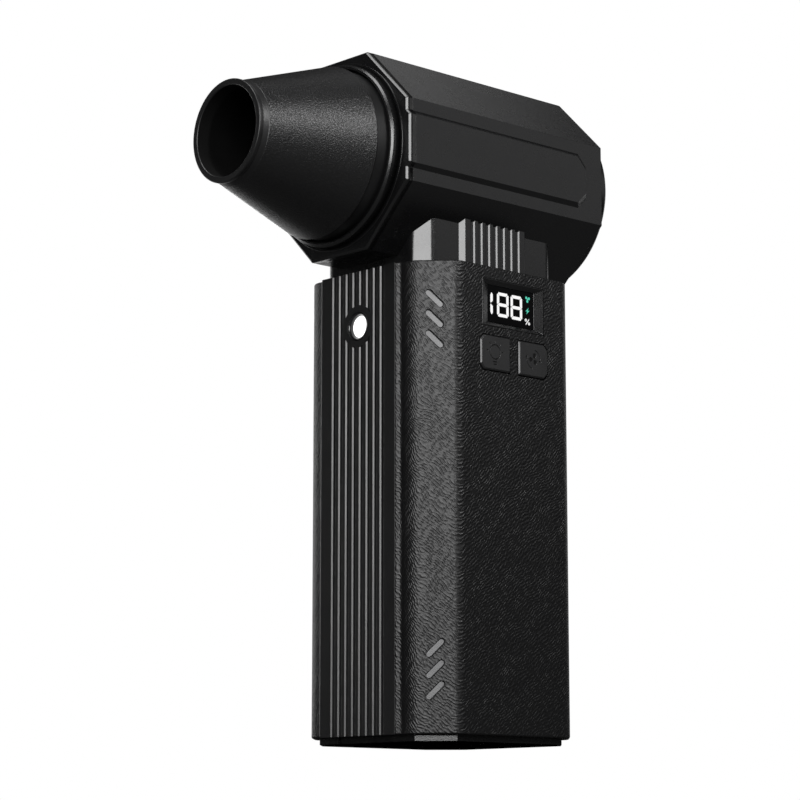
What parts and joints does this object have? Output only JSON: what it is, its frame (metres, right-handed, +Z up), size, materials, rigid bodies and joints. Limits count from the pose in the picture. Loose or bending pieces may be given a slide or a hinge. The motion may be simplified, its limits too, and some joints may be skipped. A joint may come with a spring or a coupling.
{
  "type": "hand-held turbo air blower for drying a car",
  "caption": "Hand-held air blower: octagonal head on a leather-wrapped battery handle, cone nozzle, side display with push buttons, and a front lamp.",
  "frame": {"origin": "centre of the base cover's flat underside, on the handle's own axis", "axes": "+Z up along the handle, -Y along the air jet out of the nozzle, +X towards the display and buttons"},
  "size_m": [0.0581, 0.1184, 0.1845],
  "materials": {
    "leather": "fine pebbled grain, satin black",
    "satin_shell": "smooth satin, black",
    "ribbed_panel": "smooth satin, black",
    "handle_shell": "smooth satin, charcoal",
    "grained_nozzle": "fine spark-eroded grain, black",
    "gloss_trim": "polished black",
    "lamp_diffuser": "frosted, lit white",
    "led_package": "yellow phosphor",
    "display_glass": "smoked, smooth",
    "display_screen": "black with lit figures",
    "button_plastic": "satin black",
    "circuit_board": "green solder mask",
    "switch_plastic": "matte dark grey",
    "screw_steel": "blackened",
    "seal_rubber": "matte black",
    "duct_plastic": "matte dark grey",
    "motor_metal": "turned",
    "motor_iron": "stacked sheets",
    "copper": "enamelled copper wire",
    "magnet": "nickel-plated",
    "steel": "ground",
    "impeller_metal": "milled",
    "cell_sleeve": "shrink sleeve over a steel can",
    "holder_plastic": "matte black",
    "nickel": "nickel strip",
    "chip_plastic": "matte black moulding",
    "capacitor_sleeve": "dark blue sleeve",
    "lead_insulation": "silicone, red"
  },
  "bodies": {
    "housing": {"base_cover": "satin_shell", "handle_core": "handle_shell", "leather_wrap": "leather", "front_panel": "ribbed_panel", "lamp_ring": "gloss_trim", "lamp_lens": "lamp_diffuser", "lamp_led": "led_package", "lamp_board": "circuit_board", "display_frame": "satin_shell", "display_window": "display_glass", "display_module": "display_screen", "button_board": "circuit_board", "tact_switches": "switch_plastic", "button_board_screws": "screw_steel", "top_cap": "satin_shell", "neck_collar": "satin_shell", "head_housing": "satin_shell", "front_bezel": "satin_shell", "rear_cap": "satin_shell", "intake_grille": "satin_shell", "fan_duct": "duct_plastic", "stator_vanes": "duct_plastic", "tail_cone": "duct_plastic", "motor_mount": "motor_metal", "motor_stator": "motor_iron", "motor_windings": "copper", "motor_bearings": "steel", "battery_cell_1": "cell_sleeve", "battery_cell_2": "cell_sleeve", "battery_cell_3": "cell_sleeve", "battery_cell_4": "cell_sleeve", "lower_cell_holder": "holder_plastic", "upper_cell_holder": "holder_plastic", "lower_cell_strips": "nickel", "upper_cell_strips": "nickel", "main_board": "circuit_board", "main_board_screws": "screw_steel", "power_transistors": "chip_plastic", "controller_chip": "chip_plastic", "smoothing_capacitor": "capacitor_sleeve", "charge_port": "steel", "port_bezel": "gloss_trim", "motor_leads": "lead_insulation", "base_screws": "screw_steel", "neck_screws": "screw_steel"},
    "rotor": {"impeller": "impeller_metal", "impeller_nut": "steel", "motor_shaft": "steel", "motor_bell": "motor_metal", "rotor_magnets": "magnet", "shaft_clip": "steel"},
    "light_button": {"light_button": "button_plastic"},
    "fan_button": {"fan_button": "button_plastic"},
    "nozzle": {"nozzle": "grained_nozzle", "nozzle_seal": "seal_rubber"}
  },
  "joints": [
    {"name": "rotor_spin", "type": "hinge", "parent": "housing", "child": "rotor", "pos_m": [0, 0, 0.15715], "axis": [0, 1, 0], "continuous": true},
    {"name": "light_button_press", "type": "slide", "parent": "housing", "child": "light_button", "axis": [-1, 0, 0], "range_m": [0, 0.0006], "stiffness_N_per_m": 2500, "springref_m": -0.0002},
    {"name": "fan_button_press", "type": "slide", "parent": "housing", "child": "fan_button", "axis": [-1, 0, 0], "range_m": [0, 0.0006], "stiffness_N_per_m": 2500, "springref_m": -0.0002},
    {"name": "nozzle_pull", "type": "slide", "parent": "housing", "child": "nozzle", "axis": [0, -1, 0], "range_m": [0, 0.012]}
  ]
}
